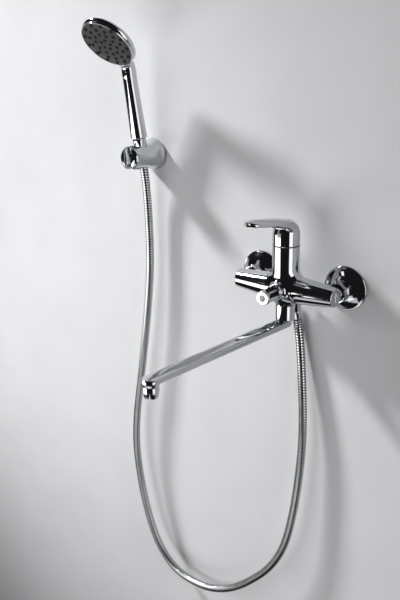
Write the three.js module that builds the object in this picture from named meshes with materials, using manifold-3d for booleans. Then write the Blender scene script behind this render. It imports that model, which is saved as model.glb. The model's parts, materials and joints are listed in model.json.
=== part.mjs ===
// Wall mounted bath mixer with a long swivel spout, shower hose, hand shower and wall holder.
// Millimetres, +Z up. X runs along the wall, +Y runs into the wall and the wall's face is Y = 0.
// The origin lies on the wall, midway between the two supply inlets.
import * as THREE from 'three';
import { mergeVertices } from 'three/addons/utils/BufferGeometryUtils.js';
import Module from 'manifold-3d';

const wasm = await Module();
wasm.setup();

// ---- driving dimensions ----
const GAP = 0.3; // between pieces that touch in the real object
const INLET_SPACING = 150;
const BODY_OUT = 49; // from the wall to the body's tube axis
const BODY_LENGTH = 171;
const TUBE_RADIUS = 21.5;
const TUBE_END_RADIUS = 14.8;
const COLUMN_RADIUS = 20.6;
const COLUMN_TOP = 66.4;
const LEVER_SEAM = 1; // open line between the column and the lever's skirt
const LEVER_REACH = 99; // from the column's axis to the lever's tip
const LEVER_PIVOT = 74; // height of the cross pin that the lever lifts about
const LEVER_SCREW = 85.2; // height of the grub screw and of the index plug in front of it
const KNOB_RADIUS = 11.4;
const KNOB_FRONT = 111.4; // from the wall to the knob's face
const COLLAR_RADIUS = 14.8;
const COLLAR_TOP = -25;
const SPOUT_TOP = -50.6;
const SPOUT_HEIGHT = 12.4;
const SPOUT_REACH = 276; // from the column's axis to the aerator's axis
const SPOUT_TURN = -6.1; // degrees, how far the spout points to the left of straight out
const ESCUTCHEON_RADIUS = 34.8;
const HOSE_RADIUS = 7;
const OUTLET_PLACE = [0, -23.6, -20.4]; // the middle of the shower outlet's end face
const OUTLET_TILT = 14; // degrees, towards the wall
const HOLDER_PLACE = [-300, 0, 171];
const HOLDER_LENGTH = 67;
const HANDSET_PLACE = [-300, -36.5, 202.3]; // the lower end of the handle, on its axis
const HANDSET_TILT = 8.9; // degrees, away from the wall
const HEAD_RADIUS = 46.7;
const FACE_RADIUS = 42.4; // the spray face's grey plate
const HEAD_TURN = 34.6; // degrees between the handle's axis and the spray face
const HEAD_CENTRE = [38.7, 156.9]; // the spray face's centre: in front of the handle's axis, and along it

const rad = THREE.MathUtils.degToRad;

// ---- materials ----
const finish = (color, roughness, metalness) =>
  () => new THREE.MeshStandardMaterial({ color, roughness, metalness });
const chrome = finish(0xd8dadd, 0.08, 1);
const brass = finish(0xb08d4a, 0.35, 1);
const steel = finish(0x9fa2a6, 0.35, 1);
const rubber = finish(0x1a1a1a, 0.8, 0);
const ceramic = finish(0xe9e6df, 0.3, 0);
const acetal = finish(0xe6e6e4, 0.5, 0);
const greyPlastic = finish(0x47494c, 0.45, 0);
const silicone = finish(0x131313, 0.7, 0);

// ---- solids ----
function solid(geometry) {
  const bare = geometry.clone();
  bare.deleteAttribute('normal');
  bare.deleteAttribute('uv');
  const merged = mergeVertices(bare, 1e-4);
  const vertices = Float32Array.from(merged.attributes.position.array);
  const all = merged.index.array;
  const kept = [];
  for (let i = 0; i < all.length; i += 3) {
    const [a, b, c] = [all[i], all[i + 1], all[i + 2]];
    if (a !== b && b !== c && c !== a) kept.push(a, b, c);
  }
  const made = (triangles) =>
    new wasm.Manifold(new wasm.Mesh({ numProp: 3, vertProperties: vertices, triVerts: triangles }));
  const first = made(Uint32Array.from(kept));
  return first.volume() > 0 ? first : made(Uint32Array.from(kept).reverse());
}

const SMALLEST_STEP = 0.02; // slivers finer than this are smoothed away after the cuts

function geometryOf(manifold) {
  const mesh = manifold.simplify(SMALLEST_STEP).getMesh();
  const geometry = new THREE.BufferGeometry();
  geometry.setAttribute('position', new THREE.BufferAttribute(Float32Array.from(mesh.vertProperties), 3));
  geometry.setIndex(Array.from(mesh.triVerts));
  geometry.computeVertexNormals();
  return geometry;
}

const join = (...parts) => parts.reduce((all, one) => all.add(one));
const cut = (from, ...tools) => tools.reduce((left, one) => left.subtract(one), from);

const group = new THREE.Group();
group.name = 'bath_mixer_set';

function piece(name, shape, material, parent = group) {
  const mesh = new THREE.Mesh(geometryOf(shape), material());
  mesh.name = name;
  parent.add(mesh);
  return mesh;
}

// ---- shapes, each about the Z axis unless it is turned afterwards ----
function turned(profile, segments = 16) {
  const points = profile.map(([r, z]) => new THREE.Vector2(r, z));
  const first = points[0];
  const last = points[points.length - 1];
  if (first.x > 0) points.unshift(new THREE.Vector2(0, first.y));
  if (last.x > 0) points.push(new THREE.Vector2(0, last.y));
  return new THREE.LatheGeometry(points, segments).rotateX(Math.PI / 2);
}

function ringOf(profile, segments = 16) {
  const points = [...profile, profile[0]].map(([r, z]) => new THREE.Vector2(r, z));
  return new THREE.LatheGeometry(points, segments).rotateX(Math.PI / 2);
}

const rod = (radius, low, high, segments = 16) => turned([[radius, low], [radius, high]], segments);
const tube = (outer, inner, low, high, segments = 16) =>
  ringOf([[inner, low], [outer, low], [outer, high], [inner, high]], segments);
const block = (wide, deep, tall) => new THREE.BoxGeometry(wide, deep, tall);

// A prism with `sides` flats, `across` wide between opposite flats, the first flat facing `facing` degrees.
function prism(sides, across, low, high, facing = 0) {
  const radius = across / 2 / Math.cos(Math.PI / sides);
  const shape = new THREE.Shape();
  for (let i = 0; i < sides; i += 1) {
    const angle = rad(facing) + (2 * Math.PI * (i + 0.5)) / sides;
    const at = [radius * Math.cos(angle), radius * Math.sin(angle)];
    if (i === 0) shape.moveTo(...at);
    else shape.lineTo(...at);
  }
  shape.closePath();
  const made = new THREE.ExtrudeGeometry(shape, { depth: high - low, bevelEnabled: false });
  return made.translate(0, 0, low);
}

// The points of a circle, or of a regular polygon, with `sides` corners.
function circle(radius, sides, x = 0, y = 0) {
  return Array.from({ length: sides }, (_, i) => {
    const angle = (2 * Math.PI * i) / sides;
    return new THREE.Vector2(x + radius * Math.cos(angle), y + radius * Math.sin(angle));
  });
}

const outward = (geometry) => geometry.rotateX(Math.PI / 2); // +Z becomes -Y, away from the wall
const sideways = (geometry) => geometry.rotateY(Math.PI / 2); // +Z becomes +X
const onBody = (geometry) => geometry.translate(0, -BODY_OUT, 0);

// ---- mixer body ----
function outletFrame(geometry) {
  return geometry.rotateX(rad(OUTLET_TILT)).translate(...OUTLET_PLACE);
}

function mixerBody() {
  const half = BODY_LENGTH / 2;
  const chamfer = 2;
  const profile = [
    [TUBE_END_RADIUS - chamfer, -half],
    [TUBE_END_RADIUS, chamfer - half],
    [TUBE_RADIUS, -COLUMN_RADIUS],
    [TUBE_RADIUS, COLUMN_RADIUS],
    [TUBE_END_RADIUS, half - chamfer],
    [TUBE_END_RADIUS - chamfer, half],
  ];
  const arms = solid(onBody(sideways(turned(profile, 28))));
  const column = solid(onBody(rod(COLUMN_RADIUS, -10, COLUMN_TOP, 32)));
  const knobBoss = solid(outward(rod(13.5, BODY_OUT, 74)));
  const spoutBoss = solid(onBody(rod(13, COLLAR_TOP, -8)));
  const flange = solid(onBody(prism(6, 32, -22.6, -16, -90)));
  const hoseBoss = solid(outletFrame(rod(10.5, 0, 14)));
  const spigots = [-1, 1].map((side) =>
    solid(outward(rod(12.7, 26, BODY_OUT)).translate((side * INLET_SPACING) / 2, 0, 0)));
  const outside = join(arms, column, knobBoss, spoutBoss, flange, hoseBoss, ...spigots);

  const cartridgeBore = solid(onBody(turned([[17.7, 26], [17.7, 61.4], [20.6, 66.4], [20.6, 70]], 32)));
  const feeds = [-1, 1].flatMap((side) => [
    solid(outward(rod(8.5, 20, BODY_OUT, 12)).translate((side * INLET_SPACING) / 2, 0, 0)),
    solid(onBody(sideways(rod(6.2, 7, 75, 10)).rotateZ(side < 0 ? Math.PI : 0))),
    solid(onBody(rod(4, -1, 30, 8)).translate(side * 9, 0, 0)),
  ]);
  const diverterBore = solid(outward(rod(9, 42, 80)));
  const mixedWay = solid(rod(3.5, -6, 30, 8).translate(0, -BODY_OUT + 9, 0));
  const spoutBore = solid(onBody(rod(9, -30, -10)));
  const hoseBore = solid(outletFrame(rod(7.8, -4, 8.3, 16)));
  const hoseWay = solid(outward(rod(3.2, 24, 45, 8)).translate(0, 0, -12.6));
  return cut(outside, cartridgeBore, ...feeds, diverterBore, mixedWay, spoutBore, hoseBore, hoseWay);
}
piece('mixer_body', mixerBody(), chrome);

// ---- inlets: union, washer, nut and wall escutcheon on each side ----
function inlet(side) {
  const label = side < 0 ? 'left' : 'right';
  const place = new THREE.Group();
  place.position.x = (side * INLET_SPACING) / 2;
  group.add(place);
  const nutOutside = solid(outward(prism(6, 30, 17.5, 30.9, 0)));
  const nutBore = solid(outward(turned([[10.9, 10], [10.9, 20.5], [13.3, 20.5], [13.3, 40]])));
  piece(`inlet_nut_${label}`, cut(nutOutside, nutBore), chrome, place);
  const union = ringOf([[7, -14], [10.4, -14], [10.4, 20.8], [12.9, 20.8], [12.9, 23.8], [7, 23.8]]);
  piece(`inlet_union_${label}`, solid(outward(union)), brass, place);
  piece(`inlet_washer_${label}`, solid(outward(tube(12.6, 8, 24.1, 25.7, 16))), rubber, place);
  const rim = ESCUTCHEON_RADIUS;
  const shell = ringOf([
    [rim - 1.4, 0], [rim, 0], [rim, 1.4], [rim - 1.6, 3], [rim - 10, 8.6], [18, 12.2], [11, 13.6],
    [11, 12.4], [17.6, 11], [rim - 10.6, 7.4], [rim - 2.6, 2],
  ], 24);
  piece(`escutcheon_${label}`, solid(outward(shell)), chrome, place);
}
inlet(-1);
inlet(1);

// ---- cartridge, seen only with the lever off ----
function cartridge() {
  const place = new THREE.Group();
  place.position.y = -BODY_OUT;
  group.add(place);
  const add = (name, shape, material) => piece(name, shape, material, place);
  add('cartridge_seal', solid(tube(12, 10.4, 26.3, 27.1, 16)), rubber);
  const housing = ringOf([[3, 27.4], [17.3, 27.4], [17.3, 54.7], [9.6, 54.7], [9.6, 51.7], [14, 51.7],
    [14, 30], [3, 30]]);
  add('cartridge_housing', solid(housing), acetal);
  add('ceramic_disc_fixed', solid(tube(13.4, 2.5, 30.3, 34.2, 16)), ceramic);
  add('ceramic_disc_moving', solid(rod(13.2, 34.5, 38.2, 16)), ceramic);
  add('cartridge_nut', solid(tube(17.2, 9.9, 55, 59.2)), brass);
  const spindle = solid(turned([[13.2, 38.5], [13.2, 51.3], [9.2, 51.3], [9.2, 77]]));
  const slot = solid(block(8.6, 30, 20).translate(0, 0, 70));
  const pinHole = solid(sideways(rod(1.8, -12, 12, 12)).translate(0, 0, LEVER_PIVOT));
  add('cartridge_spindle', cut(spindle, slot, pinHole), acetal);
  add('lever_pin', solid(sideways(rod(1.5, -8.6, 8.6, 12)).translate(0, 0, LEVER_PIVOT)), steel);
  const stem = solid(block(8, 8, 36).translate(0, 0, 80));
  add('lever_stem', cut(stem, pinHole), steel);
}
cartridge();

// ---- lever ----
// The blade's side outline: distance out from the column's axis, and height.
function bladeOutline() {
  const side = new THREE.Shape();
  side.moveTo(-12, 92);
  side.lineTo(-12, 97);
  side.quadraticCurveTo(0, 106.5, 26, 110.9);
  side.quadraticCurveTo(70, 118.6, LEVER_REACH, 120.6);
  side.lineTo(LEVER_REACH, 115.8);
  side.quadraticCurveTo(66, 108.6, 36, 102.4);
  side.quadraticCurveTo(24, 99.6, 19, 94);
  side.closePath();
  return side;
}

function leverHandle() {
  const skirtLow = COLUMN_TOP + LEVER_SEAM;
  const cap = solid(turned([[20.1, skirtLow], [COLUMN_RADIUS, skirtLow + 0.9], [COLUMN_RADIUS, 84], [20, 90],
    [17.6, 96], [13, 101], [6, 104.4], [0, 105.2]], 28));
  const deep = { depth: 60, bevelEnabled: false, curveSegments: 8 };
  const profile = new THREE.ExtrudeGeometry(bladeOutline(), deep).translate(0, 0, -30);
  // the outline's first axis becomes -Y, its second +Z
  const slab = solid(profile.rotateX(Math.PI / 2).rotateZ(-Math.PI / 2));
  const plan = new THREE.Shape();
  plan.moveTo(19, 12);
  plan.quadraticCurveTo(17.5, -30, 15, -70);
  plan.quadraticCurveTo(13, -LEVER_REACH, 0, -LEVER_REACH);
  plan.quadraticCurveTo(-13, -LEVER_REACH, -15, -70);
  plan.quadraticCurveTo(-17.5, -30, -19, 12);
  plan.closePath();
  const outlineDeep = { depth: 60, bevelEnabled: false, curveSegments: 10 };
  const blade = slab.intersect(solid(new THREE.ExtrudeGeometry(plan, outlineDeep).translate(0, 0, 70)));
  const hollow = solid(rod(18.3, skirtLow - 5, LEVER_SCREW - 5, 24));
  const socket = solid(block(8.6, 8.6, 30).translate(0, 0, 83.4));
  const screwHole = solid(outward(rod(2.3, 3, 30, 12)).translate(0, 0, LEVER_SCREW));
  const plugHole = solid(outward(rod(4.4, 17, 30, 16)).translate(0, 0, LEVER_SCREW));
  return cut(join(cap, blade), hollow, socket, screwHole, plugHole);
}
const leverPlace = new THREE.Group();
leverPlace.position.y = -BODY_OUT;
group.add(leverPlace);
piece('lever_handle', leverHandle(), chrome, leverPlace);
const grub = outward(rod(2, 4.4, 13, 12)).translate(0, 0, LEVER_SCREW);
piece('lever_grub_screw', solid(grub), steel, leverPlace);
const plug = outward(turned([[4, 17.4], [4, 20], [2.6, 21]], 16)).translate(0, 0, LEVER_SCREW);
piece('index_plug', solid(plug), greyPlastic, leverPlace);

// ---- diverter: everything lies along one axis that points out of the wall ----
function diverter() {
  const add = (name, geometry, material) => piece(name, solid(outward(geometry)), material);
  add('diverter_disc_fixed', tube(8.6, 2, 42.4, 44.8, 16), ceramic);
  add('diverter_disc_moving', rod(8.4, 45.1, 47.6, 16), ceramic);
  add('diverter_bush', tube(8.7, 5.3, 48, 79.4, 20), brass);
  const stem = solid(outward(rod(5, 47.9, 101, 16)));
  const stemHole = solid(outward(rod(2.4, 92, 105, 12)));
  piece('diverter_stem', cut(stem, stemHole), brass);
  const grip = solid(outward(prism(6, 20.4, 75, 107.5, 90)));
  const turnedKnob = solid(outward(turned([[10.2, 74.4], [KNOB_RADIUS, 76.5], [KNOB_RADIUS, 106],
    [10.7, 108.5], [10.7, 110.4], [9.8, KNOB_FRONT]])));
  const head = solid(outward(turned([[10.7, 106.8], [10.7, 110.4], [9.8, KNOB_FRONT]])));
  const bore = solid(outward(turned([[9.2, 70], [9.2, 80.4], [5.3, 80.4], [5.3, 101.4], [2.4, 101.4],
    [2.4, 106], [4.5, 106], [4.5, 115]], 20)));
  piece('diverter_knob', cut(join(grip.intersect(turnedKnob), head), bore), chrome);
  const screw = turned([[2, 93], [2, 106.3], [3.6, 106.3], [3.6, 108.4]], 12);
  add('knob_screw', screw, steel);
  add('knob_cap', turned([[4.2, 108.7], [4.2, 111], [3, 111.9]], 20), chrome);
}
diverter();

// ---- spout ----
const SPOUT_RINGS = [-19, -24]; // the lower edges of the two sealing rings on its sleeve
function spoutOutline(shrink) {
  const wideEnd = 12 - shrink;
  const narrowEnd = 10 - shrink;
  const reach = SPOUT_REACH - narrowEnd / 4;
  const shape = new THREE.Shape();
  shape.moveTo(-narrowEnd, 0);
  shape.absarc(0, 0, narrowEnd, Math.PI, 0, true);
  shape.lineTo(wideEnd, -reach);
  shape.absarc(0, -reach, wideEnd, 0, -Math.PI, true);
  shape.closePath();
  return shape;
}

function spoutTube() {
  const bevel = 2.6;
  const bar = new THREE.ExtrudeGeometry(spoutOutline(bevel), {
    depth: SPOUT_HEIGHT - 2 * bevel, bevelThickness: bevel, bevelSize: bevel, bevelSegments: 2,
    curveSegments: 6,
  }).translate(0, 0, SPOUT_TOP - SPOUT_HEIGHT + bevel);
  const waterway = new THREE.ExtrudeGeometry(spoutOutline(3), {
    depth: SPOUT_HEIGHT - 5, bevelEnabled: false, curveSegments: 4,
  }).translate(0, 0, SPOUT_TOP - SPOUT_HEIGHT + 2.5);
  const sleeve = rod(8.4, SPOUT_TOP - 4, -13.4);
  const grooves = SPOUT_RINGS.map((low) => solid(tube(10, 7.2, low - GAP, low + 2.1)));
  const sleeveBore = rod(5.6, SPOUT_TOP - 6, -10, 16);
  const shoulder = tube(11, 8, -33.4, -31);
  const outlet = turned([[10.9, -72], [11.3, -70], [11.3, SPOUT_TOP - 8]], 24);
  const outletBore = rod(9.4, -75, SPOUT_TOP - 6, 20);
  const tip = (geometry) => solid(geometry.translate(0, -SPOUT_REACH, 0));
  const outside = join(solid(bar), solid(sleeve), solid(shoulder), tip(outlet));
  return cut(outside, solid(waterway), solid(sleeveBore), tip(outletBore), ...grooves);
}

function spout() {
  const place = new THREE.Group();
  place.position.y = -BODY_OUT;
  place.rotation.z = rad(SPOUT_TURN);
  group.add(place);
  const add = (name, shape, material) => piece(name, shape, material, place);
  add('spout_tube', spoutTube(), chrome);
  for (const [i, low] of SPOUT_RINGS.entries()) {
    add(`spout_seal_${i + 1}`, solid(tube(8.8, 7.6, low, low + 1.8)), rubber);
  }
  const housing = ringOf([[8.6, -80.6], [9.6, -80.6], [10.6, -72.4], [9.1, -72.4], [9.1, -66], [8.1, -66],
    [8.1, -73]], 24).translate(0, -SPOUT_REACH, 0);
  add('aerator_housing', solid(housing), chrome);
  const insert = turned([[7.7, -79.4], [7.7, -67]], 20).translate(0, -SPOUT_REACH, 0);
  add('aerator_insert', solid(insert), acetal);
}
spout();
const collar = ringOf([[9.2, -50.2], [COLLAR_RADIUS, -50.2], [COLLAR_RADIUS, -27],
  [COLLAR_RADIUS - 1.2, COLLAR_TOP - GAP], [9.2, COLLAR_TOP - GAP], [9.2, -30.6], [11.4, -30.6],
  [11.4, -33.8], [9.2, -33.8]], 24);
piece('spout_nut', solid(onBody(collar)), chrome);

// ---- shower outlet and the hose's lower end ----
const outlet = new THREE.Group();
outlet.position.set(...OUTLET_PLACE);
outlet.rotation.x = rad(OUTLET_TILT);
group.add(outlet);
const nipple = ringOf([[4, -9], [9.8, -9], [9.8, -GAP], [7.4, -GAP], [7.4, 7], [4, 7]], 20);
piece('shower_outlet_nipple', solid(nipple), brass, outlet);
piece('hose_washer_lower', solid(tube(9.6, 5, -10.9, -9.4, 16)), rubber, outlet);
const lowerNut = ringOf([[7.7, -25], [8.4, -24.4], [11.2, -2], [10.8, -0.6], [10.2, -0.6], [10.2, -11.3],
  [7.7, -11.3]], 24);
piece('hose_nut_lower', solid(lowerNut), chrome, outlet);
const lowerFerrule = ringOf([[4.6, -41], [7.2, -41], [7.2, -11.6], [4.6, -11.6]], 20);
piece('hose_ferrule_lower', solid(lowerFerrule), chrome, outlet);

// ---- shower hose: its route was laid out by hand as it hangs ----
const HOSE_ROUTE = [
  [0, -13.5, -60.9], [0.3, -10.6, -73], [3.2, -10, -92], [8.5, -12, -130], [13.5, -15, -175],
  [18, -18, -225], [19.2, -21, -288], [14.5, -23.5, -358], [6, -26, -425], [-8, -28.5, -487],
  [-34, -30.5, -540], [-70, -32, -584], [-116, -33.5, -626], [-168, -33.5, -653], [-219, -32.5, -660],
  [-262, -31.5, -651], [-297, -30, -622], [-320, -29, -580], [-338, -27.5, -525], [-351, -26, -460],
  [-356, -25, -395], [-350, -24, -328], [-337, -23, -255], [-321, -22, -165], [-309, -21, -85],
  [-302.5, -20, -20], [-301, -20, 45], [-301, -21.5, 100], [-300.3, -25.4, 135], [-300, -29.1, 155.5],
];
const routePoints = HOSE_ROUTE.map((at) => new THREE.Vector3(...at));
const route = new THREE.CatmullRomCurve3(routePoints, false, 'centripetal');
const hoseSection = new THREE.Shape(circle(HOSE_RADIUS, 10));
const hose = new THREE.ExtrudeGeometry(hoseSection, { steps: 52, extrudePath: route });
piece('hose_tube', solid(hose), steel);

// ---- hand shower, in its own frame: the handle's axis is +Z and the spray face looks towards -Y ----
const handset = new THREE.Group();
handset.position.set(...HANDSET_PLACE);
handset.rotation.x = rad(HANDSET_TILT);
group.add(handset);

function conicalNut() {
  const outside = turned([[8.4, -47], [9.1, -46], [11.5, -3], [11, -GAP]], 24);
  const bore = turned([[7.9, -50], [7.9, -14], [10.2, -14], [10.2, 3]], 20);
  return cut(solid(outside), solid(bore));
}
piece('hose_nut_upper', conicalNut(), chrome, handset);
piece('hose_ferrule_upper', solid(tube(7.6, 4.6, -47, -14.3, 20)), chrome, handset);
piece('hose_washer_upper', solid(tube(9.6, 5, -13.9, -12.4, 16)), rubber, handset);

// The head's frame has its spray face at z = 0, looking along -Z.
function headFrame(geometry) {
  return geometry.rotateX(rad(HEAD_TURN - 90)).translate(0, -HEAD_CENTRE[0], HEAD_CENTRE[1]);
}

function handsetShell() {
  const dish = turned([[HEAD_RADIUS - 3.5, 0], [HEAD_RADIUS - 0.8, 3.5], [HEAD_RADIUS, 6], [44.5, 10.5],
    [38, 14.4], [27, 17.8], [12, 19.8], [0, 20]], 32);
  const bend = new THREE.CatmullRomCurve3([[0, 0, 90], [0, 0.3, 106], [0, -4, 128],
    [0, -21, 149]].map((at) => new THREE.Vector3(...at)));
  const neckSection = new THREE.Shape(circle(11.2, 24));
  const neck = new THREE.ExtrudeGeometry(neckSection, { steps: 7, extrudePath: bend });
  const grip = turned([[13.2, 0.4], [13.9, 2], [13.1, 30], [12.3, 62], [11.8, 102], [9.4, 103.6]], 24);
  const outside = join(solid(headFrame(dish)), solid(neck), solid(grip));
  const hollow = turned([[FACE_RADIUS + 0.5, -9], [FACE_RADIUS + 0.5, 4], [35, 9.5], [14, 14.5], [0, 15]], 24);
  const cavity = headFrame(hollow);
  const thread = rod(9.9, -2, 14, 16);
  const waterway = rod(6.4, 10, 146, 12);
  return cut(outside, solid(cavity), solid(thread), solid(waterway));
}
piece('handset_shell', handsetShell(), chrome, handset);
const inletThread = ringOf([[5, -12.1], [9.6, -12.1], [9.6, 13], [5, 13]], 20);
piece('handset_inlet', solid(inletThread), brass, handset);

// Nozzles stand in rings around the middle of the face: [ring radius, how many]
const NOZZLE_RINGS = [[8.5, 5], [19.5, 10], [29, 12], [37.8, 13]];
const NOZZLE_RADIUS = 2.4;
function nozzlePlaces() {
  return NOZZLE_RINGS.flatMap(([radius, count], ring) =>
    Array.from({ length: count }, (_, i) => {
      const angle = (2 * Math.PI * (i + 0.5 * (ring % 2))) / count;
      return [radius * Math.cos(angle), radius * Math.sin(angle)];
    }));
}

function facePlate() {
  const shape = new THREE.Shape(circle(FACE_RADIUS, 32));
  for (const [x, y] of nozzlePlaces()) {
    shape.holes.push(new THREE.Path(circle(NOZZLE_RADIUS + GAP, 6, x, y).reverse()));
  }
  return new THREE.ExtrudeGeometry(shape, { depth: 2, bevelEnabled: false });
}

function nozzleMat() {
  const base = solid(rod(FACE_RADIUS - 0.9, 2.3, 3.6, 24));
  const nozzles = nozzlePlaces().map(([x, y]) =>
    solid(turned([[NOZZLE_RADIUS - 0.6, -1.6], [NOZZLE_RADIUS, 3]], 6)
      .rotateZ(Math.PI / 2).translate(x, y, 0)));
  return join(base, ...nozzles);
}
piece('face_plate', solid(headFrame(facePlate())), greyPlastic, handset);
piece('nozzle_mat', solid(headFrame(geometryOf(nozzleMat()))), silicone, handset);
piece('spray_distributor', solid(headFrame(tube(FACE_RADIUS - 8.3, 4, 3.9, 6.4, 24))), acetal, handset);

// ---- wall holder for the hand shower ----
function holder() {
  const outside = outward(turned([[26.4, 0.4], [26.7, 1.2], [25.4, 7], [22.4, 17], [20.8, 28], [20.4, 44],
    [19.8, 54], [17.8, 61.5], [13, HOLDER_LENGTH]], 28));
  const recess = outward(rod(16, -2, 14.4, 24));
  const seat = turned([[8.8, -55], [9.5, -46], [12.3, 4]], 24)
    .rotateX(rad(HANDSET_TILT))
    .translate(HANDSET_PLACE[0] - HOLDER_PLACE[0], HANDSET_PLACE[1], HANDSET_PLACE[2] - HOLDER_PLACE[2]);
  const way = block(2 * HOSE_RADIUS + 0.6, 42, 80).translate(0, -53, 0);
  const grubHole = rod(2.4, -40, 0, 12).translate(0, -7, 0);
  return cut(solid(outside), solid(recess), solid(seat), solid(way), solid(grubHole));
}
const holderPlace = new THREE.Group();
holderPlace.position.set(...HOLDER_PLACE);
group.add(holderPlace);
piece('holder_body', holder(), chrome, holderPlace);
const SCREW_OFFSET = 9;
function wallBoss() {
  const boss = solid(outward(rod(15.6, 0, 14, 24)));
  const holes = [-1, 1].map((side) => {
    const bore = turned([[2.5, -1], [2.5, 10], [4.8, 10], [4.8, 20]], 16);
    return solid(outward(bore).translate(0, 0, side * SCREW_OFFSET));
  });
  const grubSeat = solid(rod(2.4, -20, -12.6, 12).translate(0, -7, 0));
  return cut(boss, ...holes, grubSeat);
}
piece('holder_wall_boss', wallBoss(), acetal, holderPlace);
for (const [label, side] of [['upper', 1], ['lower', -1]]) {
  const screw = outward(turned([[2, -28], [2.2, -20], [2.2, 10.3], [4.4, 10.3], [4.4, 12.8]], 12));
  piece(`holder_screw_${label}`, solid(screw.translate(0, 0, side * SCREW_OFFSET)), steel, holderPlace);
}
piece('holder_grub_screw', solid(rod(2, -22, -13, 12).translate(0, -7, 0)), steel, holderPlace);

export default group;
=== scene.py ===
# Looks of a wall mounted bath mixer set: polished chrome, a wound metal hose and a hand shower.
# The frame is the CAD's: X along the wall, +Y into it, +Z up, the origin on the wall between the inlets.
# Shapes below are drawn in millimetres, each in its own local frame, and placed in metres by a matrix.
import json
import math

import bpy
import numpy as np
from mathutils import Matrix, Vector


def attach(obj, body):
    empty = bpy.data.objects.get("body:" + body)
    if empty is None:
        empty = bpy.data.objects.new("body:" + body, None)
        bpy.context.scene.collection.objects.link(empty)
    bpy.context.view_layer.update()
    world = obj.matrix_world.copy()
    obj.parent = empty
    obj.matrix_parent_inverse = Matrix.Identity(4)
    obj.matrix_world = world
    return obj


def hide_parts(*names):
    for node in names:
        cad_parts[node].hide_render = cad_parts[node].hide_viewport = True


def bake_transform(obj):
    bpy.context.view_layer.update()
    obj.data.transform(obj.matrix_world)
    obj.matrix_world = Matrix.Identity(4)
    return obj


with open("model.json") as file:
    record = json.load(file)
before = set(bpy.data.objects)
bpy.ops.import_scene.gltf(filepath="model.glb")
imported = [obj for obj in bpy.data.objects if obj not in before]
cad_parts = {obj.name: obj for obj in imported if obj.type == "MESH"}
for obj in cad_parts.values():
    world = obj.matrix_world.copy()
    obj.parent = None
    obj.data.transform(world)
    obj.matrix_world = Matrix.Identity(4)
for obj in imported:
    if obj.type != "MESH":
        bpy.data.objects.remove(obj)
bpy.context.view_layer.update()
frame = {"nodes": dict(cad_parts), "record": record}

MM = 0.001
BODY_OUT = 49  # from the wall to the body's axis
INLET = 75  # from the middle to each supply inlet
COLUMN_RADIUS = 20.6
COLUMN_TOP = 66.4
LEVER_LOW = 67.4  # the lower edge of the lever's skirt
LEVER_SCREW = 85.2  # height of the index plug
SLEEVE_COVER = 0.3  # how far a moulded part draws back under the turned sleeve that covers its end
SPOUT_REACH = 276  # from the column's axis to the outlet's axis
SPOUT_TURN = -6.1  # degrees from straight out
OUTLET_PLACE = (0, -23.6, -20.4)
OUTLET_TILT = 14
HOLDER_PLACE = (-300, 0, 171)
HANDSET_PLACE = (-300, -36.5, 202.3)
HANDSET_TILT = 8.9  # degrees, away from the wall
HOLDER_LENGTH = 67
HOLDER_SLOT_START = 36  # from the wall to where the slot for the hose begins
HEAD_RADIUS = 46.7
FACE_RECESS = 44  # radius of the recess that the spray face sits in
FACE_RADIUS = 42.5
HEAD_TURN = 34.6
HEAD_CENTRE = (38.7, 156.9)  # in front of the handle's axis, and along it


# ---- camera ----
CAMERA_PLACE = (0.576, -0.966, 0.362)
CAMERA_YAW = math.radians(39)
CAMERA_PITCH = math.radians(19.43)
CAMERA_ROLL = math.radians(-1.26)
CAMERA_LENS = 45.06  # mm, for the sensor below
CAMERA_SENSOR = 36


def make_camera():
    data = bpy.data.cameras.new("camera")
    camera = bpy.data.objects.new("camera", data)
    bpy.context.scene.collection.objects.link(camera)
    bpy.context.scene.camera = camera
    data.sensor_width = CAMERA_SENSOR
    data.lens = CAMERA_LENS
    data.clip_end = 50
    flat = math.cos(CAMERA_PITCH)
    ahead = Vector((-math.sin(CAMERA_YAW) * flat, math.cos(CAMERA_YAW) * flat, -math.sin(CAMERA_PITCH)))
    right = Vector((math.cos(CAMERA_YAW), math.sin(CAMERA_YAW), 0))
    up = right.cross(ahead)
    rolled = right * math.cos(CAMERA_ROLL) + up * math.sin(CAMERA_ROLL)
    above = up * math.cos(CAMERA_ROLL) - right * math.sin(CAMERA_ROLL)
    turn = Matrix((rolled, above, -ahead)).transposed().to_4x4()
    camera.matrix_world = Matrix.Translation(CAMERA_PLACE) @ turn


make_camera()


# ---- materials ----
def shader(name, color, metallic, roughness):
    material = bpy.data.materials.new(name)
    material.use_nodes = True
    nodes = material.node_tree.nodes
    surface = nodes["Principled BSDF"]
    surface.inputs["Base Color"].default_value = (*color, 1)
    surface.inputs["Metallic"].default_value = metallic
    surface.inputs["Roughness"].default_value = roughness
    return material, nodes, material.node_tree.links, surface


def noise(nodes, links, scale, detail=3):
    place = nodes.new("ShaderNodeTexCoord")
    made = nodes.new("ShaderNodeTexNoise")
    made.inputs["Scale"].default_value = scale
    made.inputs["Detail"].default_value = detail
    links.new(place.outputs["Object"], made.inputs["Vector"])
    return made


def spread(nodes, links, source, low, high):
    """A value that follows source between low and high."""
    made = nodes.new("ShaderNodeMapRange")
    made.inputs["From Min"].default_value = 0.3
    made.inputs["From Max"].default_value = 0.7
    made.inputs["To Min"].default_value = low
    made.inputs["To Max"].default_value = high
    links.new(source, made.inputs["Value"])
    return made.outputs["Result"]


def tint(nodes, links, source, dark, light):
    ramp = nodes.new("ShaderNodeValToRGB")
    ramp.color_ramp.elements[0].position = 0.3
    ramp.color_ramp.elements[0].color = (*dark, 1)
    ramp.color_ramp.elements[1].position = 0.7
    ramp.color_ramp.elements[1].color = (*light, 1)
    links.new(source, ramp.inputs["Fac"])
    return ramp.outputs["Color"]


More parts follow.
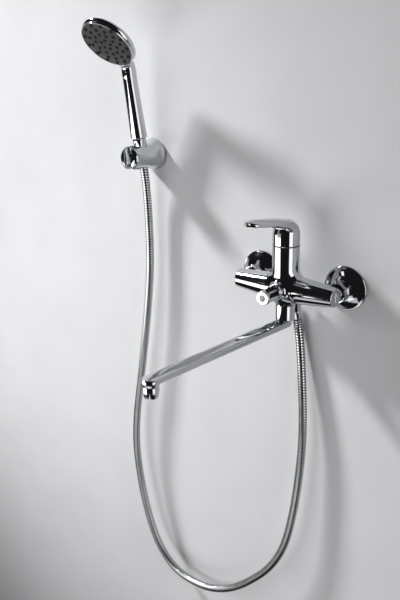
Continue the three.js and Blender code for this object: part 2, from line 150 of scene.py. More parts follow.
def bump(nodes, links, surface, source, strength, distance):
    made = nodes.new("ShaderNodeBump")
    made.inputs["Strength"].default_value = strength
    made.inputs["Distance"].default_value = distance
    links.new(source, made.inputs["Height"])
    links.new(made.outputs["Normal"], surface.inputs["Normal"])


def textured(name, dark, light, metallic, smooth, rough, scale, relief=0.0, depth=0.0002):
    """Colour and roughness that wander between two values, with an optional fine relief."""
    material, nodes, links, surface = shader(name, light, metallic, rough)
    grain = noise(nodes, links, scale)
    links.new(tint(nodes, links, grain.outputs["Fac"], dark, light), surface.inputs["Base Color"])
    links.new(spread(nodes, links, grain.outputs["Fac"], smooth, rough), surface.inputs["Roughness"])
    if relief:
        fine = noise(nodes, links, scale * 6, 2)
        bump(nodes, links, surface, fine.outputs["Fac"], relief, depth)
    return material


CHROME = textured("polished_chrome", (0.56, 0.57, 0.585), (0.60, 0.61, 0.622), 1, 0.06, 0.10, 22)
HOSE = textured("hose_chrome", (0.58, 0.59, 0.60), (0.70, 0.71, 0.72), 1, 0.08, 0.14, 60)
# near-black paint for the hose's grooves: painted shade where light doesn't reach into them
HOSE_GROOVE_SHADE = textured("hose_groove_painted_shade", (0.012, 0.012, 0.013), (0.03, 0.03, 0.032), 1, 0.3, 0.4, 60)
BRASS = textured("turned_brass", (0.55, 0.40, 0.17), (0.70, 0.54, 0.27), 1, 0.22, 0.38, 90, 0.15)
STEEL = textured("zinc_steel", (0.42, 0.43, 0.45), (0.58, 0.59, 0.61), 1, 0.25, 0.4, 120, 0.15)
RUBBER = textured("seal_rubber", (0.012, 0.012, 0.013), (0.025, 0.025, 0.026), 0, 0.6, 0.8, 150, 0.3)
CERAMIC = textured("ceramic", (0.80, 0.78, 0.73), (0.87, 0.85, 0.81), 0, 0.2, 0.35, 70, 0.05)
ACETAL = textured("white_acetal", (0.74, 0.74, 0.72), (0.84, 0.84, 0.82), 0, 0.4, 0.55, 80, 0.1)
FACE = textured("face_plastic", (0.072, 0.074, 0.076), (0.092, 0.094, 0.096), 0, 0.30, 0.42, 140, 0.12)
SILICONE = textured("nozzle_silicone", (0.006, 0.006, 0.007), (0.014, 0.014, 0.015), 0, 0.32, 0.48, 160, 0.1)
PLUG = textured("plug_plastic", (0.34, 0.34, 0.345), (0.42, 0.42, 0.425), 0, 0.15, 0.25, 160)
MESH = textured("aerator_mesh", (0.25, 0.25, 0.26), (0.45, 0.45, 0.46), 0, 0.35, 0.5, 200, 0.2)


# ---- smooth shapes from fields: a field is negative inside, and near zero it is about a distance ----
def blended(a, b, width):
    """The union of two fields, with a fillet."""
    share = np.clip(0.5 + 0.5 * (b - a) / width, 0, 1)
    return b * (1 - share) + a * share - width * share * (1 - share)


def common(a, b, width):
    """Where both fields hold, with a rounded edge."""
    return -blended(-a, -b, width)


def without(a, b, width):
    return common(a, -b, width)


def slope(field, points, step=0.02):
    columns = []
    for axis in range(3):
        shift = np.zeros(3)
        shift[axis] = step
        columns.append((field(points + shift) - field(points - shift)) / (2 * step))
    return np.stack(columns, -1)


def settle(field, points, most):
    """Moves points onto the field's zero surface."""
    for _ in range(3):
        steep = slope(field, points)
        size = np.maximum((steep ** 2).sum(-1), 0.05)
        move = -steep * (field(points) / size)[:, None]
        far = np.linalg.norm(move, axis=-1, keepdims=True)
        points = points + move * np.minimum(1, most / np.maximum(far, 1e-9))
    return points


CORNERS = [(0, 0, 0), (1, 0, 0), (0, 1, 0), (1, 1, 0), (0, 0, 1), (1, 0, 1), (0, 1, 1), (1, 1, 1)]


def net(field, low, high, step):
    """A closed quad mesh on the field's zero surface, one vertex for each grid cell that it crosses."""
    low = np.array(low, float)
    axes = [low[k] + step * np.arange(int((high[k] - low[k]) / step) + 2) for k in range(3)]
    grid = np.stack(np.meshgrid(*axes, indexing="ij"), -1)
    value = field(grid.reshape(-1, 3)).reshape(grid.shape[:3])
    inside = value < 0
    cells = [n - 1 for n in inside.shape]
    filled = sum(inside[i:i + cells[0], j:j + cells[1], k:k + cells[2]].astype(int) for i, j, k in CORNERS)
    crossed = (filled > 0) & (filled < 8)
    number = np.full(cells, -1)
    number[crossed] = np.arange(crossed.sum())
    base = np.argwhere(crossed)
    total = np.zeros((len(base), 3))
    count = np.zeros(len(base))
    for a in CORNERS:
        for b in CORNERS:
            if sum(abs(p - q) for p, q in zip(a, b)) != 1 or a > b:
                continue
            va = value[tuple((base + a).T)]
            vb = value[tuple((base + b).T)]
            cut = (va < 0) != (vb < 0)
            t = np.where(cut, va / np.where(cut, va - vb, 1), 0)[:, None]
            total += np.where(cut[:, None], (1 - t) * a + t * np.array(b), 0)
            count += cut
    points = low + step * (base + total / count[:, None])
    quads = []
    for axis in range(3):
        u, v = (axis + 1) % 3, (axis + 2) % 3
        one = [slice(1, -1)] * 3
        two = list(one)
        one[axis] = slice(None, -1)
        two[axis] = slice(1, None)
        first = inside[tuple(one)]
        edges = first != inside[tuple(two)]
        found = np.argwhere(edges)
        found[:, u] += 1
        found[:, v] += 1
        back = np.zeros(3, int)
        ring = []
        for du, dv in [(1, 1), (0, 1), (0, 0), (1, 0)]:
            back[:] = 0
            back[u], back[v] = du, dv
            ring.append(number[tuple((found - back).T)])
        faces = np.stack(ring, -1)
        outward = first[edges]
        faces[~outward] = faces[~outward][:, ::-1]
        quads.append(faces)
    faces = np.concatenate(quads)
    points = settle(field, points, step)
    for _ in range(2):
        points = relaxed(points, faces)
        points = settle(field, points, step * 0.5)
    return points, faces


def relaxed(points, faces):
    total = np.zeros_like(points)
    count = np.zeros(len(points))
    for k in range(4):
        a, b = faces[:, k], faces[:, (k + 1) % 4]
        np.add.at(total, a, points[b])
        np.add.at(count, a, 1)
    return points * 0.5 + 0.5 * total / count[:, None]


def added(name, points, faces, place, material, normals=None, sharp=None):
    """A mesh object from millimetre points in a local frame."""
    mesh = bpy.data.meshes.new(name)
    turning = np.array(place.to_3x3()).T
    world = np.asarray(points) @ turning * MM + np.array(place.translation)
    mesh.from_pydata(world.tolist(), [], [list(map(int, f)) for f in faces])
    mesh.update()
    mesh.shade_smooth()
    if normals is not None:
        mesh.normals_split_custom_set_from_vertices((normals @ turning).tolist())
    elif sharp is not None:
        mesh.set_sharp_from_angle(angle=math.radians(sharp))
    made = bpy.data.objects.new(name, mesh)
    bpy.context.scene.collection.objects.link(made)
    mesh.materials.append(material)
    return made


def moulded(name, field, low, high, step, place, material):
    """A smooth solid from a field."""
    points, faces = net(field, low, high, step)
    normals = slope(field, points, step * 0.12)
    normals /= np.maximum(np.linalg.norm(normals, axis=-1, keepdims=True), 1e-9)
    return added(name, points, faces, place, material, normals)


# ---- turned shapes ----
def softened(profile, radius, parts=4):
    """A closed or open outline of (r, z) corners with each corner rounded; points on the axis stay."""
    made = []
    for i, point in enumerate(profile):
        here = np.array(point[:2], float)
        before = np.array(profile[i - 1][:2], float)
        after = np.array(profile[(i + 1) % len(profile)][:2], float)
        soft = point[2] if len(point) > 2 else radius
        ends = here[0] == 0 or soft == 0
        if ends:
            made.append(tuple(here))
            continue
        size_in, size_out = np.linalg.norm(before - here), np.linalg.norm(after - here)
        start = here + (before - here) * min(soft, 0.45 * size_in) / size_in
        stop = here + (after - here) * min(soft, 0.45 * size_out) / size_out
        for k in range(parts + 1):
            t = k / parts
            made.append(tuple((1 - t) ** 2 * start + 2 * t * (1 - t) * here + t * t * stop))
    return made


def turned_mesh(outline, sides=96, radius_at=None):
    """Points and faces of a closed outline turned about Z. radius_at(r, z, angle) can flatten its sides."""
    points, faces, rows = [], [], []
    for r, z in outline:
        if r < 1e-6:
            rows.append([len(points)])
            points.append((0, 0, z))
            continue
        rows.append(list(range(len(points), len(points) + sides)))
        for k in range(sides):
            angle = 2 * math.pi * k / sides
            here = radius_at(r, z, angle) if radius_at else r
            points.append((here * math.cos(angle), here * math.sin(angle), z))
    for i, row in enumerate(rows):
        following = rows[(i + 1) % len(rows)]
        if len(row) == 1 and len(following) == 1:
            continue
        for k in range(sides):
            m = (k + 1) % sides
            if len(row) == 1:
                faces.append((row[0], following[m], following[k]))
            elif len(following) == 1:
                faces.append((row[k], row[m], following[0]))
            else:
                faces.append((row[k], row[m], following[m], following[k]))
    return points, faces


def turned(name, profile, place, material, round_by=0.4, sides=96, sharp=35, radius_at=None):
    """A closed outline turned about the local Z axis, counter-clockwise with r to the right and z up."""
    outline = softened(profile, round_by)
    points, faces = turned_mesh(outline, sides, radius_at)
    return added(name, points, faces, place, material, sharp=sharp)


def hexed(across, corner=0.985, turn=0.0):
    """Flattens a turned shape into six sides that are `across` apart."""
    half = across / 2

    def radius_at(r, _z, angle):
        off = (angle - turn) % (math.pi / 3) - math.pi / 6
        return min(r, half / math.cos(off), half / math.cos(math.pi / 6) * corner)

    return radius_at


def joined(name, pieces):
    """One object from several closed shells."""
    vertices, faces, normals = [], [], []
    for piece in pieces:
        base = len(vertices)
        mesh = piece.data
        vertices += [v.co[:] for v in mesh.vertices]
        faces += [[base + i for i in p.vertices] for p in mesh.polygons]
        normals += [n.vector[:] for n in mesh.corner_normals]
    mesh = bpy.data.meshes.new(name)
    mesh.from_pydata(vertices, [], faces)
    mesh.update()
    mesh.shade_smooth()
    mesh.normals_split_custom_set(normals)
    mesh.materials.append(pieces[0].data.materials[0])
    made = bpy.data.objects.new(name, mesh)
    bpy.context.scene.collection.objects.link(made)
    for piece in pieces:
        bpy.data.objects.remove(piece)
    return made


def at(x, y, z):
    return Matrix.Translation((x * MM, y * MM, z * MM))


def about(axis, degrees):
    return Matrix.Rotation(math.radians(degrees), 4, axis)


OUT = about("X", 90)  # local +Z points out of the wall
COLUMN = at(0, -BODY_OUT, 0)
OUTLET = at(*OUTLET_PLACE) @ about("X", OUTLET_TILT)
SPOUT = COLUMN @ about("Z", SPOUT_TURN)
HOLDER = at(*HOLDER_PLACE)
HANDSET = at(*HANDSET_PLACE) @ about("X", HANDSET_TILT)
HEAD = HANDSET @ at(0, -HEAD_CENTRE[0], HEAD_CENTRE[1]) @ about("X", HEAD_TURN - 90)


def placed(piece, body, slot, *nodes):
    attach(piece, body)
    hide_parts(*nodes)
    return piece


# ---- shower hose: the route is the CAD's ----
HOSE_ROUTE = [
    (0, -13.5, -60.9), (0.3, -10.6, -73), (3.2, -10, -92), (8.5, -12, -130), (13.5, -15, -175),
    (18, -18, -225), (19.2, -21, -288), (14.5, -23.5, -358), (6, -26, -425), (-8, -28.5, -487),
    (-34, -30.5, -540), (-70, -32, -584), (-116, -33.5, -626), (-168, -33.5, -653), (-219, -32.5, -660),
    (-262, -31.5, -651), (-297, -30, -622), (-320, -29, -580), (-338, -27.5, -525), (-351, -26, -460),
    (-356, -25, -395), (-350, -24, -328), (-337, -23, -255), (-321, -22, -165), (-309, -21, -85),
    (-302.5, -20, -20), (-301, -20, 45), (-301, -21.5, 100), (-300.3, -25.4, 135), (-300, -29.1, 155.5),
]
HOSE_DIAMETER = 14
HOSE_PITCH = 4.6  # from one turn of the wound strip to the next
TURN_STEPS = 10  # rings of vertices for each turn
HOSE_SIDES = 22
GROOVE_DEPTH = 1.5
STRIP_SQUARENESS = 4  # 2 makes the strip's crown round, more makes it flatter
SHADED_GROOVE_SHARE = 0.95  # where the strip is lower than this share of its height, the groove is painted dark as shade


def smooth_route(route, parts=24):
    """Points along a centripetal Catmull-Rom spline through the route."""
    p = [np.array(q, float) for q in route]
    p = [2 * p[0] - p[1], *p, 2 * p[-1] - p[-2]]
    made = []
    for i in range(1, len(p) - 2):
        t = [0.0]
        for a, b in zip(p[i - 1:i + 2], p[i:i + 3]):
            t.append(t[-1] + math.sqrt(np.linalg.norm(b - a)))
        for k in range(parts):
            s = t[1] + (t[2] - t[1]) * k / parts
            level = p[i - 1:i + 3]
            for depth in (1, 2, 3):
                level = [
                    (level[j] * (t[j + depth] - s) + level[j + 1] * (s - t[j])) / (t[j + depth] - t[j])
                    for j in range(len(level) - 1)
                ]
            made.append(level[0])
    made.append(p[-2])
    return np.array(made)


def even_route(points, step):
    """The same line with points a fixed distance apart, and its length."""
    size = np.r_[0, np.cumsum(np.linalg.norm(np.diff(points, axis=0), axis=1))]
    wanted = np.linspace(0, size[-1], int(size[-1] / step) + 1)
    return np.stack([np.interp(wanted, size, points[:, k]) for k in range(3)], -1), size[-1]


def strip_height(phase):
    """The wound strip's outside, from 0 in the groove to 1 on the crown, over one turn."""
    return (1 - np.abs(2 * phase - 1) ** STRIP_SQUARENESS) ** (1 / STRIP_SQUARENESS)


def make_hose():
    line, length = even_route(smooth_route(HOSE_ROUTE), HOSE_PITCH / TURN_STEPS)
    ahead = np.gradient(line, axis=0)
    ahead /= np.linalg.norm(ahead, axis=1, keepdims=True)
    across = np.zeros_like(line)
    across[0] = np.cross(ahead[0], (1, 0, 0))
    for i in range(1, len(line)):
        across[i] = across[i - 1] - ahead[i] * np.dot(across[i - 1], ahead[i])
        across[i] /= np.linalg.norm(across[i])
    across[0] /= np.linalg.norm(across[0])
    third = np.cross(ahead, across)
    angle = 2 * math.pi * np.arange(HOSE_SIDES) / HOSE_SIDES
    turns = np.arange(len(line))[:, None] / TURN_STEPS + angle[None] / (2 * math.pi)
    radius = HOSE_DIAMETER / 2 + GROOVE_DEPTH * (strip_height(turns % 1) - 1)
    ring = np.cos(angle)[None, :, None] * across[:, None] + np.sin(angle)[None, :, None] * third[:, None]
    points = (line[:, None] + radius[..., None] * ring).reshape(-1, 3)
    last = len(line) - 1
    faces = [tuple(range(HOSE_SIDES))[::-1], tuple(last * HOSE_SIDES + k for k in range(HOSE_SIDES))]
    for i in range(last):
        for k in range(HOSE_SIDES):
            m = (k + 1) % HOSE_SIDES
            a, b = i * HOSE_SIDES, (i + 1) * HOSE_SIDES
            faces.append((a + k, a + m, b + m, b + k))
    hose = added("shower_hose", points, faces, Matrix.Identity(4), HOSE, sharp=70)
    # the groove faces take the near-black material: painted shade in the grooves, not the hose's own colour
    hose.data.materials.append(HOSE_GROOVE_SHADE)
    height = strip_height(turns % 1)
    beside = np.roll(height, -1, 1)
    low = (height[:-1] + height[1:] + beside[:-1] + beside[1:]) / 4 < SHADED_GROOVE_SHARE
    for polygon, deep in zip(list(hose.data.polygons)[2:], low.ravel()):
        polygon.material_index = int(deep)
    return hose, line * MM, length * MM


hose, hose_line, hose_length = make_hose()
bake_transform(hose)
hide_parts("hose_tube")

# ---- nuts and ferrules on the hose ----
lower_nut = turned("hose_nut_bottom", [(7.7, -25), (8.5, -25), (11.2, -2.5), (10.9, -0.6), (7.7, -0.6)],
                   OUTLET, CHROME, 0.6)
placed(lower_nut, "root", "chrome_plate", "hose_nut_lower")
FERRULE = [(4.6, -41), (7.2, -41), (7.4, -39.5), (7.4, -28), (7.1, -26.5), (7.1, -11.6), (4.6, -11.6)]
lower_ferrule = turned("hose_ferrule_bottom", FERRULE, OUTLET, CHROME, 0.4)
placed(lower_ferrule, "root", "chrome_plate", "hose_ferrule_lower")
UPPER_NUT = [(7.9, -47), (8.6, -47), (9.2, -45.6), (11.5, -3), (11.1, -0.3), (7.9, -0.3)]
upper_nut = turned("hose_nut_top", UPPER_NUT, HANDSET, CHROME, 0.6)
placed(upper_nut, "handset", "chrome_plate", "hose_nut_upper")
upper_ferrule = turned("hose_ferrule_top", [(4.6, -47), (7.6, -47), (7.6, -14.3), (4.6, -14.3)],
                       HANDSET, CHROME, 0.3)
placed(upper_ferrule, "handset", "chrome_plate", "hose_ferrule_upper")


# ---- mixer body ----
COLUMN_JOINT = 40  # above this height the column is a turned sleeve


def body_field(p):
    x, y, z = p[:, 0], p[:, 1], p[:, 2]
    reach = np.abs(x)
    outer = np.interp(reach, [0, 20.6, 83.5, 90], [21.6, 21.5, 14.8, 14.1])
    arms = common(np.hypot(y + BODY_OUT, z) - outer, reach - 85.5, 2.4)
    wide = COLUMN_RADIUS - SLEEVE_COVER * np.clip((z - COLUMN_JOINT) / 1.5, 0, 1)
    column = common(np.hypot(x, y + BODY_OUT) - wide, z - COLUMN_JOINT - 5, 0.2)
    column = common(column, -z, 0.2)
    body = blended(arms, column, 11)
    knob_boss = common(np.hypot(x, z) - 13.3, -y - 74, 1.6)
    knob_boss = common(knob_boss, y + BODY_OUT, 0.2)
    body = blended(body, knob_boss, 6)
    spout_boss = common(np.hypot(x, y + BODY_OUT) - 13, -z - 25, 0.8)
    spout_boss = common(spout_boss, z, 0.2)
    body = blended(body, spout_boss, 2)
    spigots = common(np.hypot(reach - INLET, z) - 12.7, y + 26, 0.6)
    spigots = common(spigots, -y - BODY_OUT, 0.2)
    body = blended(body, spigots, 3)
    tilt = math.radians(OUTLET_TILT)
    dy, dz = y - OUTLET_PLACE[1], z - OUTLET_PLACE[2]
    along = -dy * math.sin(tilt) + dz * math.cos(tilt)
    aside = np.hypot(x, dy * math.cos(tilt) + dz * math.sin(tilt))
    outlet = common(common(aside - 10.5, -along, 1), along - 14, 0.5)
    return blended(body, outlet, 4)


def make_body():
    low, high = (-87, -76, -27), (87, -24, 47)
    block = moulded("body_block", body_field, low, high, 1.25, Matrix.Identity(4), CHROME)
    sleeve = turned(
        "column_sleeve",
        [(17.7, COLUMN_JOINT - 2), (COLUMN_RADIUS, COLUMN_JOINT - 2, 0), (COLUMN_RADIUS, COLUMN_TOP),
         (20.1, COLUMN_TOP, 0.1), (17.7, COLUMN_TOP - 5)],
        COLUMN, CHROME, 0.35, 128)
    flange = turned(
        "body_flange",
        [(0, -22.6), (18.3, -22.6), (18.6, -22), (18.6, -14.4), (18.3, -13.8), (0, -13.8)],
        COLUMN, CHROME, 0.35, 96, 25, hexed(32, 0.985, math.radians(-90)))
    return joined("mixer_shell", [block, sleeve, flange])


placed(make_body(), "root", "chrome_plate", "mixer_body")


# ---- inlets ----
def make_inlet(side, label):
    place = at(side * INLET, 0, 0) @ OUT
    cover = turned(
        f"wall_cover_{label}",
        [(33.4, 0.1, 0.1), (34.8, 0.1, 0.1), (34.8, 1.8, 0.8), (33.9, 3.0, 0.5), (31.6, 3.6, 0.8),
         (26.5, 7.2, 5), (19, 11.3, 5), (11.2, 13.6, 0.6), (11.2, 12.6, 0.2), (18.6, 10.2, 5), (26, 6.2, 5),
         (31, 2.6, 2)],
        place, CHROME, 0.5, 128)
    placed(cover, "root", "chrome_plate", f"escutcheon_{label}")
    nut = turned(f"union_nut_{label}",
                 [(10.9, 17.5), (15.4, 17.5, 0.3), (17.6, 19.0, 0.6), (17.6, 29.4, 0.6), (15.4, 30.9, 0.3),
                  (13.3, 30.9), (13.3, 20.5), (10.9, 20.5)],
                 place, CHROME, 0.25, 96, 25, hexed(30, 0.985, math.radians(30)))
    placed(nut, "root", "chrome_plate", f"inlet_nut_{label}")


make_inlet(-1, "left")
make_inlet(1, "right")


# ---- lever ----
def between(value, *knots):
    """A smooth curve through (place, height) knots."""
    places = np.array([k[0] for k in knots], float)
    heights = np.array([k[1] for k in knots], float)
    rise = np.diff(heights) / np.diff(places)
    lean = np.r_[rise[0], (rise[:-1] + rise[1:]) / 2, rise[-1]]
    i = np.clip(np.searchsorted(places, value) - 1, 0, len(places) - 2)
    wide = places[i + 1] - places[i]
    t = (np.clip(value, places[0], places[-1]) - places[i]) / wide
    start = heights[i] * (1 + 2 * t) * (1 - t) ** 2 + heights[i + 1] * t * t * (3 - 2 * t)
    return start + wide * (lean[i] * t * (1 - t) ** 2 - lean[i + 1] * t * t * (1 - t))


LEVER_JOINT = 80  # below this height the lever's skirt is a turned sleeve


def lever_field(p):
    x, y, z = p[:, 0], p[:, 1], p[:, 2]
    out = -y
    wide = COLUMN_RADIUS - SLEEVE_COVER * np.clip((LEVER_JOINT - z) / 1.5, 0, 1)
    around = np.hypot(x, y) / wide
    high = np.maximum(z - LEVER_JOINT - 2, 0) / 23.4
    dome = ((around ** 2.05 + high ** 2.05) ** (1 / 2.05) - 1) * 20
    dome = common(dome, LEVER_JOINT - 5 - z, 0.2)
    half = between(out, (-20, 8), (-8, 14), (6, 17.6), (30, 18), (60, 17), (80, 14.8), (92, 11), (99, 4))
    beyond = np.maximum(out - 99, 0)
    share = np.clip(np.abs(x) / half, 0, 1.3)
    top = between(out, (-22, 84), (-14, 94), (-4, 102.5), (8, 107.2), (26, 111.4), (50, 115.4), (75, 118.8),
                  (99, 120.6))
    low = between(out, (-22, 82), (0, 86), (14, 93), (22, 97.8), (34, 101.5), (50, 105.4), (71, 108.6),
                  (88, 111.4), (99, 113.4))
    top = top - 3.2 * share ** 2.4
    low = low + 2.2 * (1 - share ** 2.2) * np.clip((out - 45) / 20, 0, 1) * np.clip((94 - out) / 8, 0, 1)
    blade = common(z - top, low - z, 1.5)
    blade = common(blade, (np.abs(x) - half) * 0.9 + beyond, 2.6)
    return blended(dome, blade, 3)


def make_lever():
    top = moulded("lever_top", lever_field, (-23, -103, 73), (23, 23, 123), 1.05, COLUMN, CHROME)
    skirt = turned(
        "lever_skirt",
        [(18.3, LEVER_LOW, 0.1), (20, LEVER_LOW, 0.1), (COLUMN_RADIUS, LEVER_LOW + 1, 0.2),
         (COLUMN_RADIUS, LEVER_JOINT + 2, 0), (18.3, LEVER_JOINT + 2)],
        COLUMN, CHROME, 0.3, 128)
    return joined("lever", [top, skirt])


placed(make_lever(), "lever", "chrome_plate", "lever_handle")
plug = turned(
    "index_button",
    [(0, 18), (3.9, 18), (3.9, 20.4), (3.4, 21.2, 0.5), (0, 21.5)],
    COLUMN @ at(0, 0, LEVER_SCREW) @ OUT, PLUG, 0.3, 48)
placed(plug, "lever", "grey_plastic", "index_plug")


# ---- diverter knob ----
def knob_sides(r, z, angle):
    """Six slightly hollow flats with rounded corners, fading into the round front and back."""
    off = (angle - math.radians(30)) % (math.pi / 3) - math.pi / 6
    flat = 10.1 / math.cos(off) + 0.35 * math.cos(6 * off)
    fade = min(1, max(0, (z - 75.5) / 3)) * min(1, max(0, (107.5 - z) / 2.5))
    return r * (1 - fade) + min(r, flat) * fade


knob_rings = [(10.6, 75.4)] + [(11.4, 76.4 + 1.5 * k, 0) for k in range(21)]
knob = turned(
    "diverter_grip",
    [(5.2, 74.6), (9.6, 74.6), *knob_rings, (10.9, 108.4, 0.4), (10.9, 110.2, 0.5), (10, 111.4, 0.5),
     (4.8, 111.4, 0.4), (4.5, 109.6, 0.2), (0, 109.4), (0, 100), (5.2, 100)],
    OUT, CHROME, 0.3, 120, 30, knob_sides)
placed(knob, "diverter", "chrome_plate", "diverter_knob")
cap = turned("knob_button", [(0, 109.5), (4.1, 109.5), (4.1, 111), (3.2, 111.7, 0.6), (0, 111.9)],
             OUT, PLUG, 0.3, 48)
placed(cap, "diverter", "chrome_plate", "knob_cap")

# ---- spout ----
collar = turned(
    "spout_collar",
    [(9.2, -50.2), (14.2, -50.2), (14.8, -49.4), (14.8, -26.6), (13.6, -25.3), (9.2, -25.3)],
    COLUMN, CHROME, 0.5, 128)
placed(collar, "root", "chrome_plate", "spout_nut")


def spout_field(p):
    x, y, z = p[:, 0], p[:, 1], p[:, 2]
    out = -y
    share = np.clip(out / SPOUT_REACH, 0, 1)
    aside = np.hypot(x, np.minimum(out, 0) + np.maximum(out - SPOUT_REACH, 0))
    half = 10 + 1.9 * share
    top = -50.5 - 2.2 * share
    low = -63 + 0.9 * share
    tall = (top - low) / 2
    off = np.abs(z - (top + low) / 2)
    bar = (((aside / half) ** 4 + (off / tall) ** 4) ** 0.25 - 1) * tall
    nose = np.hypot(x, out - SPOUT_REACH) - 11.2 + 0.03 * (z + 60)
    nose = common(common(nose, z + 56, 0.4), -72 - z, 0.5)
    return blended(bar, nose, 2.5)


bar = moulded("spout_bar", spout_field, (-14, -290, -74), (14, 13, -49), 1.1, SPOUT, CHROME)
placed(bar, "spout", "chrome_plate", "spout_tube")
TIP = SPOUT @ at(0, -SPOUT_REACH, 0)
housing = turned(
    "aerator_ring",
    [(8.4, -80.6), (9.5, -80.6, 0.4), (10.0, -79.2, 0.4), (10.75, -72.9, 0.4), (10.5, -72.2, 0.2),
     (8.4, -72.2)],
    TIP, CHROME, 0.3, 96)
placed(housing, "spout", "chrome_plate", "aerator_housing")


MESH_RADIUS = 8.2
WIRE_SPACING = 1.4
WIRE_RADIUS = 0.22


def make_aerator():
    """The outlet's mesh: a dished disc with a crossed grid of wires under it."""
    outline = [(0, -78.9), (MESH_RADIUS, -78.6, 0.2), (MESH_RADIUS, -72.4, 0.2), (0, -72.4)]
    disc = turned("aerator_disc", outline, TIP, MESH, 0.2, 64)
    wires = []
    for turn in (0, 90):
        for k in range(-5, 6):
            offset = k * WIRE_SPACING
            long = 2 * math.sqrt(MESH_RADIUS ** 2 - offset ** 2)
            place = TIP @ about("Z", turn) @ at(offset, long / 2, -79.1) @ about("X", 90)
            outline = [(0, 0), (WIRE_RADIUS, 0, 0), (WIRE_RADIUS, long, 0), (0, long)]
            wires.append(turned("wire", outline, place, MESH, 0, 8))
    return joined("aerator_mesh", [disc, *wires])


placed(make_aerator(), "spout", "white_acetal", "aerator_insert")


# ---- hand shower ----
def handset_field(p):
    x, y, z = p[:, 0], p[:, 1], p[:, 2]
    neck = bent_neck(p) - between(z, (112, 11.7), (150, 9.6))
    wide = between(z, (-5, 13.8), (2, 13.9), (30, 13.1), (62, 12.4), (100, 11.8), (120, 11.8))
    grip = np.hypot(x, y) - wide
    grip = common(grip, z - 112, 1)
    grip = common(grip, 0.4 - z, 1.6)
    handle = blended(grip, neck, 1.5)
    turn = math.radians(HEAD_TURN - 90)
    dy, dz = y + HEAD_CENTRE[0], z - HEAD_CENTRE[1]
    side = dy * math.cos(turn) + dz * math.sin(turn)
    deep = -dy * math.sin(turn) + dz * math.cos(turn)
    around = np.hypot(x, side)
    back = np.maximum(deep - 5.2, 0) / 14.6
    dish = (((around / (HEAD_RADIUS + 0.1)) ** 2.1 + back ** 2.1) ** (1 / 2.1) - 1) * 20
    lip = ((-3, 40.8), (0.2, 43.2), (2.5, 45), (5, 46.4), (6.6, HEAD_RADIUS), (30, HEAD_RADIUS))
    flare = between(deep, *lip)
    dish = common(dish, around - flare, 1.2)
    dish = common(dish, 0.6 - deep, 0.8)
    whole = blended(dish, handle, 9)
    return without(whole, np.maximum(around - FACE_RECESS, deep - 0.6), 0.8)


NECK = [(0, 0, 104), (0, 0.2, 114), (0, -3, 127), (0, -9.5, 139), (0, -20, 149)]


def bent_neck(p):
    """The distance to the neck's centreline."""
    nearest = np.full(len(p), 1e9)
    line = smooth_route(NECK, 4)
    for a, b in zip(line[:-1], line[1:]):
        run = b - a
        t = np.clip(((p - a) @ run) / (run @ run), 0, 1)[:, None]
        nearest = np.minimum(nearest, np.linalg.norm(p - a - t * run, axis=1))
    return nearest


def make_handset():
    shell = moulded("handset_block", handset_field, (-52, -86, -1), (52, 18, 208), 1.6, HANDSET, CHROME)
    rim = turned(
        "face_rim",
        [(FACE_RADIUS, 0.2), (42.6, -0.9, 0.3), (43.4, -1.0, 0.4), (43.9, 0.3, 0.4), (FACE_RECESS, 2.4, 0.5),
         (FACE_RADIUS, 2.4)],
        HEAD, CHROME, 0.4, 160)
    return joined("handset", [shell, rim])


placed(make_handset(), "handset", "chrome_plate", "handset_shell")
face = turned(
    "spray_face",
    [(0, -1.2), (28, -1.0, 4), (42.3, -0.2, 0.5), (FACE_RADIUS, 1.2, 0.2), (0, 1.2)],
    HEAD, FACE, 0.3, 160)
placed(face, "handset", "grey_plastic", "face_plate")
NOZZLE_RINGS = [(8.5, 5), (19.5, 10), (29, 12), (37.8, 13)]  # (ring radius, how many)
NOZZLE_RADIUS = 3.2  # at the foot


def make_nozzles():
    nozzles = []
    for ring, (radius, count) in enumerate(NOZZLE_RINGS):
        for k in range(count):
            angle = 2 * math.pi * (k + 0.5 * (ring % 2)) / count
            place = HEAD @ at(radius * math.cos(angle), radius * math.sin(angle), 0)
            nozzles.append(turned(
                "nozzle",
                [(0, -2.0), (0.6, -2.9, 0.1), (1.8, -2.9, 0.4), (2.4, -1.6, 0.3), (NOZZLE_RADIUS, -1.0, 0.2),
                 (NOZZLE_RADIUS, 0.6), (0, 0.6)],
                place, SILICONE, 0.2, 20))
    return joined("nozzles", nozzles)


placed(make_nozzles(), "handset", "nozzle_silicone", "nozzle_mat")


# ---- wall holder ----
def holder_field(p):
    x, y, z = p[:, 0], p[:, 1], p[:, 2]
    out = -y
    outer = 20.4 + 6.3 * np.exp(-(out / 15) ** 2)
    barrel = common(np.hypot(x, z) - outer, out - HOLDER_LENGTH, 10)
    barrel = common(barrel, 0.4 - out, 0.6)
    tilt = math.radians(HANDSET_TILT)
    dy, dz = y - HANDSET_PLACE[1], z - (HANDSET_PLACE[2] - HOLDER_PLACE[2])
    along = -dy * math.sin(tilt) + dz * math.cos(tilt)
    aside = np.hypot(x, dy * math.cos(tilt) + dz * math.sin(tilt))
    seat = aside - np.interp(along, [-60, -46, 4, 20], [8.6, 9.5, 12.3, 12.9])
    slot = np.maximum(np.abs(x) - 7.3, HOLDER_SLOT_START - out)
    return without(barrel, blended(seat, slot, 1.5), 1.4)


placed(moulded("wall_holder", holder_field, (-28, -69, -28), (28, 1, 28), 0.95, HOLDER, CHROME),
       "root", "chrome_plate", "holder_body")

# ---- the CAD pieces that stay as they are get their finish ----
FINISHES = {
    "chrome_plate": CHROME, "hose_metal": HOSE, "brass": BRASS, "steel": STEEL, "rubber": RUBBER,
    "ceramic": CERAMIC, "white_acetal": ACETAL, "grey_plastic": FACE, "nozzle_silicone": SILICONE,
}
for part in frame["record"]["subparts"]:
    cad = frame["nodes"][part["node"]]
    cad.data.materials.clear()
    cad.data.materials.append(FINISHES[part["material_slot"]])


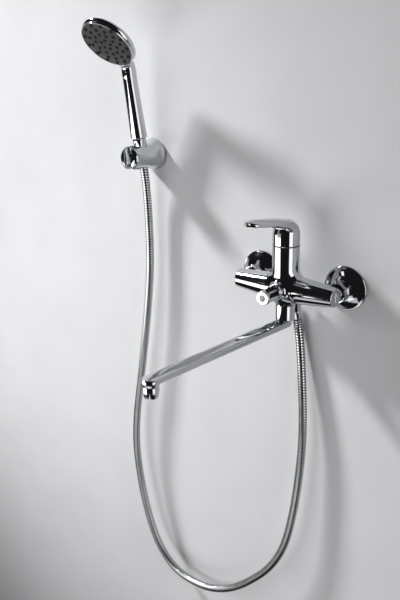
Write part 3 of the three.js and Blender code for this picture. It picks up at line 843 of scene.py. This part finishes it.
# ---- wall, light and surroundings ----
def wall_material():
    material, nodes, links, surface = shader("painted_wall", (0.78, 0.785, 0.80), 0, 0.75)
    fine = noise(nodes, links, 190, 4)
    broad = noise(nodes, links, 7, 3)
    links.new(tint(nodes, links, broad.outputs["Fac"], (0.755, 0.76, 0.775), (0.80, 0.805, 0.82)),
              surface.inputs["Base Color"])
    bump(nodes, links, surface, fine.outputs["Fac"], 0.25, 0.0006)
    # seen from behind, the wall is open, so that the back of the object shows
    clear = nodes.new("ShaderNodeBsdfTransparent")
    side = nodes.new("ShaderNodeNewGeometry")
    mix = nodes.new("ShaderNodeMixShader")
    links.new(side.outputs["Backfacing"], mix.inputs["Fac"])
    links.new(surface.outputs["BSDF"], mix.inputs[1])
    links.new(clear.outputs["BSDF"], mix.inputs[2])
    links.new(mix.outputs["Shader"], nodes["Material Output"].inputs["Surface"])
    return material


WALL_HALF = 4  # metres from the wall's middle to its edges


def make_wall():
    mesh = bpy.data.meshes.new("wall")
    corners = [(x * WALL_HALF, 0, z * WALL_HALF) for x, z in ((-1, -1), (1, -1), (1, 1), (-1, 1))]
    mesh.from_pydata(corners, [], [(0, 1, 2, 3)])
    mesh.materials.append(wall_material())
    wall = bpy.data.objects.new("wall", mesh)
    bpy.context.scene.collection.objects.link(wall)


def softbox(name, azimuth, elevation, distance, wide, tall, power, aim=(-0.1, -0.05, 0.05), fan=180):
    """An area light round the object. Azimuth 0 is straight out from the wall, positive to the right.

    Distance and sides are in metres, power in watts, and the fan is the spread in degrees.
    """
    data = bpy.data.lights.new(name, "AREA")
    data.shape = "RECTANGLE"
    data.size = wide
    data.size_y = tall
    data.energy = power
    data.spread = math.radians(fan)
    made = bpy.data.objects.new(name, data)
    bpy.context.scene.collection.objects.link(made)
    a, e = math.radians(azimuth), math.radians(elevation)
    back = Vector((math.sin(a) * math.cos(e), -math.cos(a) * math.cos(e), math.sin(e)))
    made.location = Vector(aim) + back * distance
    made.rotation_mode = "QUATERNION"
    made.rotation_quaternion = back.to_track_quat("Z", "Y")
    return made


def make_light():
    softbox("key_upper_left", -66, 42, 2.9, 0.36, 0.36, 10, (-0.36, -0.03, 0.12), 50)
    softbox("box_lower_left", -43, -15, 1.25, 1.2, 0.5, 7, (0, -0.05, 0))
    softbox("panel_left", -40, 17, 1.6, 0.3, 0.5, 0.25, (0, -0.05, 0))
    softbox("panel_below", -14, -46, 1.4, 1.4, 0.5, 1.8, (0, -0.05, 0))
    softbox("strip_right", 74, 0, 2.2, 1.1, 2.2, 12)
    softbox("panel_below_right", 14, -52, 1.4, 0.7, 0.5, 0.8, (0.07, -0.03, 0))
    world = bpy.data.worlds.new("room")
    bpy.context.scene.world = world
    world.use_nodes = True
    nodes, links = world.node_tree.nodes, world.node_tree.links
    seen = nodes.new("ShaderNodeBackground")
    seen.inputs["Color"].default_value = (0.80, 0.80, 0.82, 1)
    room = nodes["Background"]
    room.inputs["Color"].default_value = (0.012, 0.012, 0.014, 1)
    path = nodes.new("ShaderNodeLightPath")
    mix = nodes.new("ShaderNodeMixShader")
    links.new(path.outputs["Is Camera Ray"], mix.inputs["Fac"])
    links.new(room.outputs["Background"], mix.inputs[1])
    links.new(seen.outputs["Background"], mix.inputs[2])
    links.new(mix.outputs["Shader"], nodes["World Output"].inputs["Surface"])


make_wall()
make_light()
bpy.context.scene.view_settings.view_transform = "Standard"
